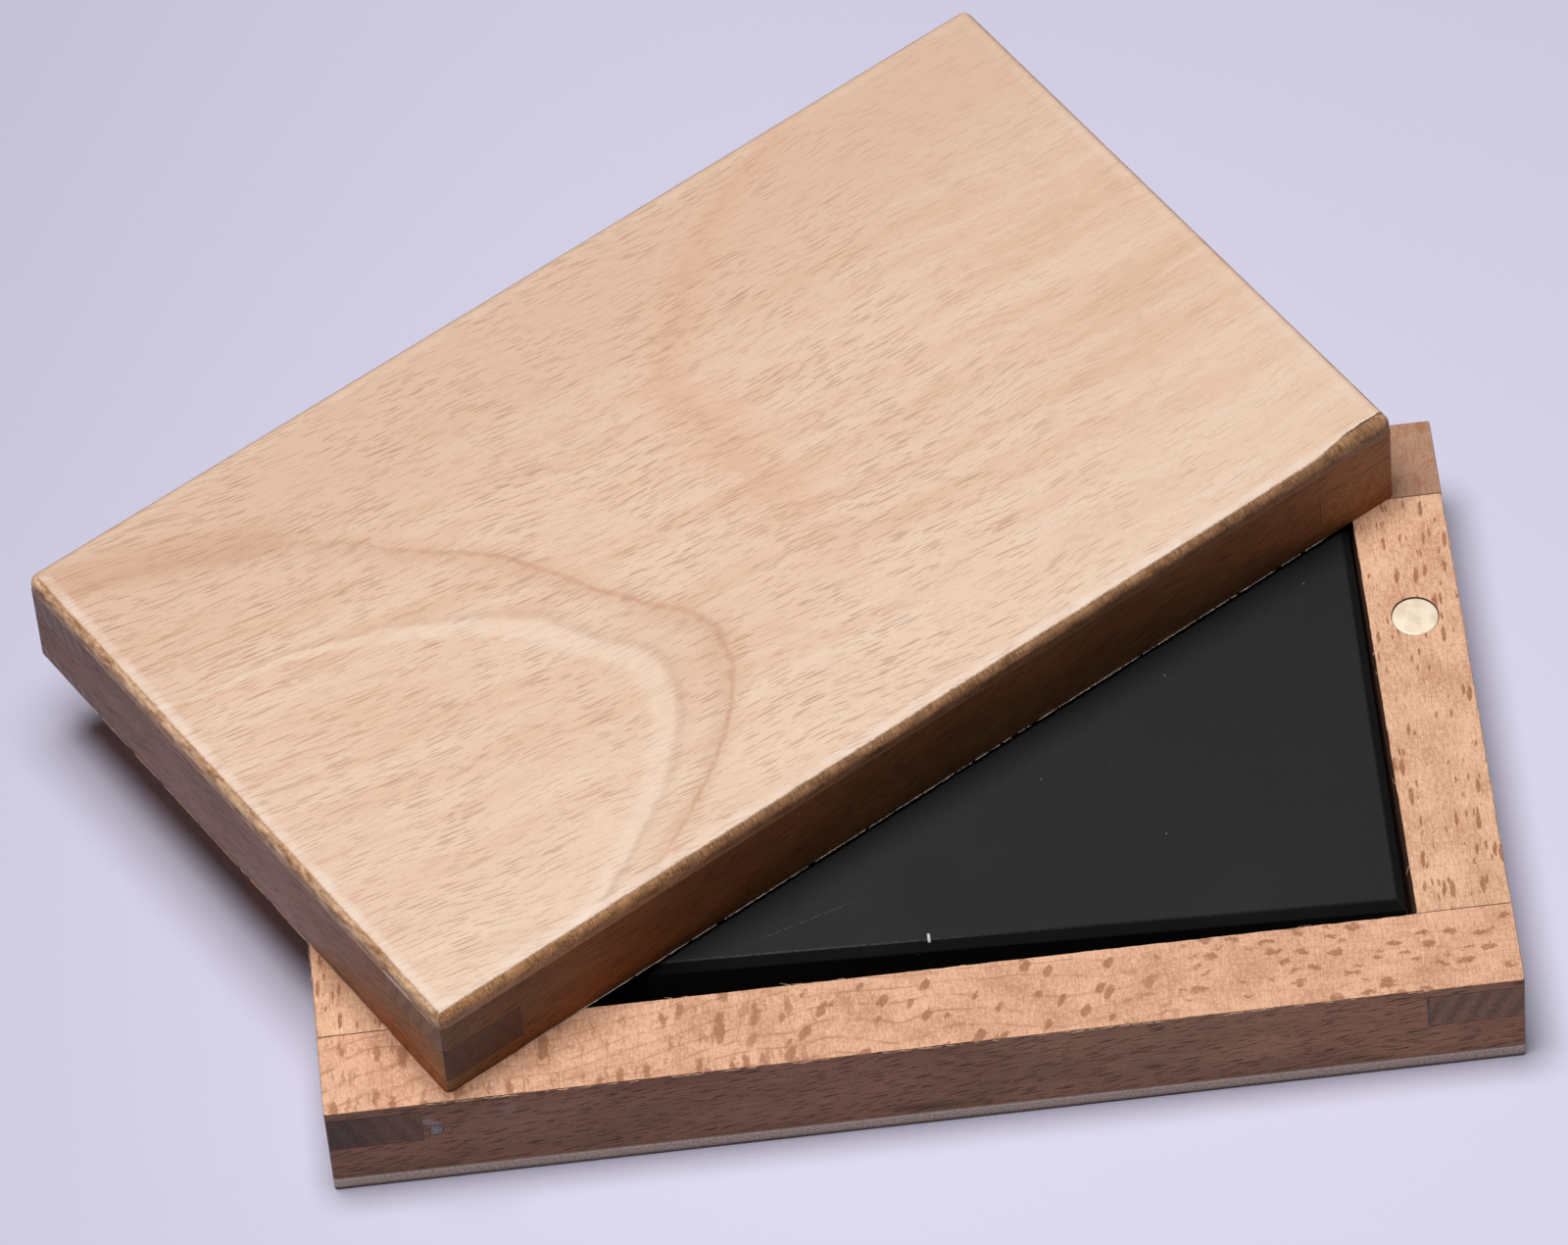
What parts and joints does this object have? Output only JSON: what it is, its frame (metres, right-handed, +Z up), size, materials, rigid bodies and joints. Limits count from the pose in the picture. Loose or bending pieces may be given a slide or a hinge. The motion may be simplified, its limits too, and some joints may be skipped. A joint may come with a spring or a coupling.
{
  "type": "cased flat stone",
  "caption": "Shallow finger-jointed wooden case holding a flat black stone, with a lid that swings open on a magnet pivot and lifts off.",
  "frame": {"origin": "centre of the base's flat underside, which stands on the surface below", "axes": "+X along the case's length towards the catch magnets, +Y to the case's back, +Z up out of the base"},
  "size_m": [0.1809, 0.1555, 0.0316],
  "materials": {
    "base_long_beech": "bare sawn and sanded beech, grain along the rail",
    "base_side_beech": "bare sawn and sanded beech, grain along the rail",
    "base_face_veneer": "bare sanded pale hardwood veneer",
    "base_ply_core": "bare cross-grain core, fibrous edge",
    "base_inner_veneer": "bare sanded veneer",
    "lid_long_beech": "bare sawn and sanded beech, grain along the rail",
    "lid_side_beech": "bare sawn and sanded beech, grain along the rail",
    "lid_face_veneer": "bare sanded pale hardwood veneer",
    "lid_ply_core": "bare cross-grain core, fibrous edge",
    "lid_inner_veneer": "bare sanded veneer",
    "nickel": "nickel plate, slightly yellowed, satin",
    "filler": "grey wood filler, matt",
    "black_stone": "fine honed black stone, matt"
  },
  "bodies": {
    "base": {"base_front_rail": "base_long_beech", "base_back_rail": "base_long_beech", "base_left_rail": "base_side_beech", "base_right_rail": "base_side_beech", "base_face_veneer": "base_face_veneer", "base_core_veneer": "base_ply_core", "base_inner_veneer": "base_inner_veneer", "base_pivot_magnet": "nickel", "base_catch_magnet": "nickel", "joint_filler": "filler", "stone_slab": "black_stone"},
    "lid_pivot": {"lid_pivot_magnet": "nickel"},
    "lid": {"lid_front_rail": "lid_long_beech", "lid_back_rail": "lid_long_beech", "lid_left_rail": "lid_side_beech", "lid_right_rail": "lid_side_beech", "lid_face_veneer": "lid_face_veneer", "lid_core_veneer": "lid_ply_core", "lid_inner_veneer": "lid_inner_veneer", "lid_catch_magnet": "nickel"}
  },
  "joints": [
    {"name": "lid_lift", "type": "slide", "parent": "base", "child": "lid_pivot", "axis": [0, 0, 1], "range_m": [0, 0.06]},
    {"name": "lid_swivel", "type": "hinge", "parent": "lid_pivot", "child": "lid", "pos_m": [-0.069, -0.0165, 0.016], "axis": [0, 0, 1], "range_deg": [-31.1, 88.9]}
  ]
}
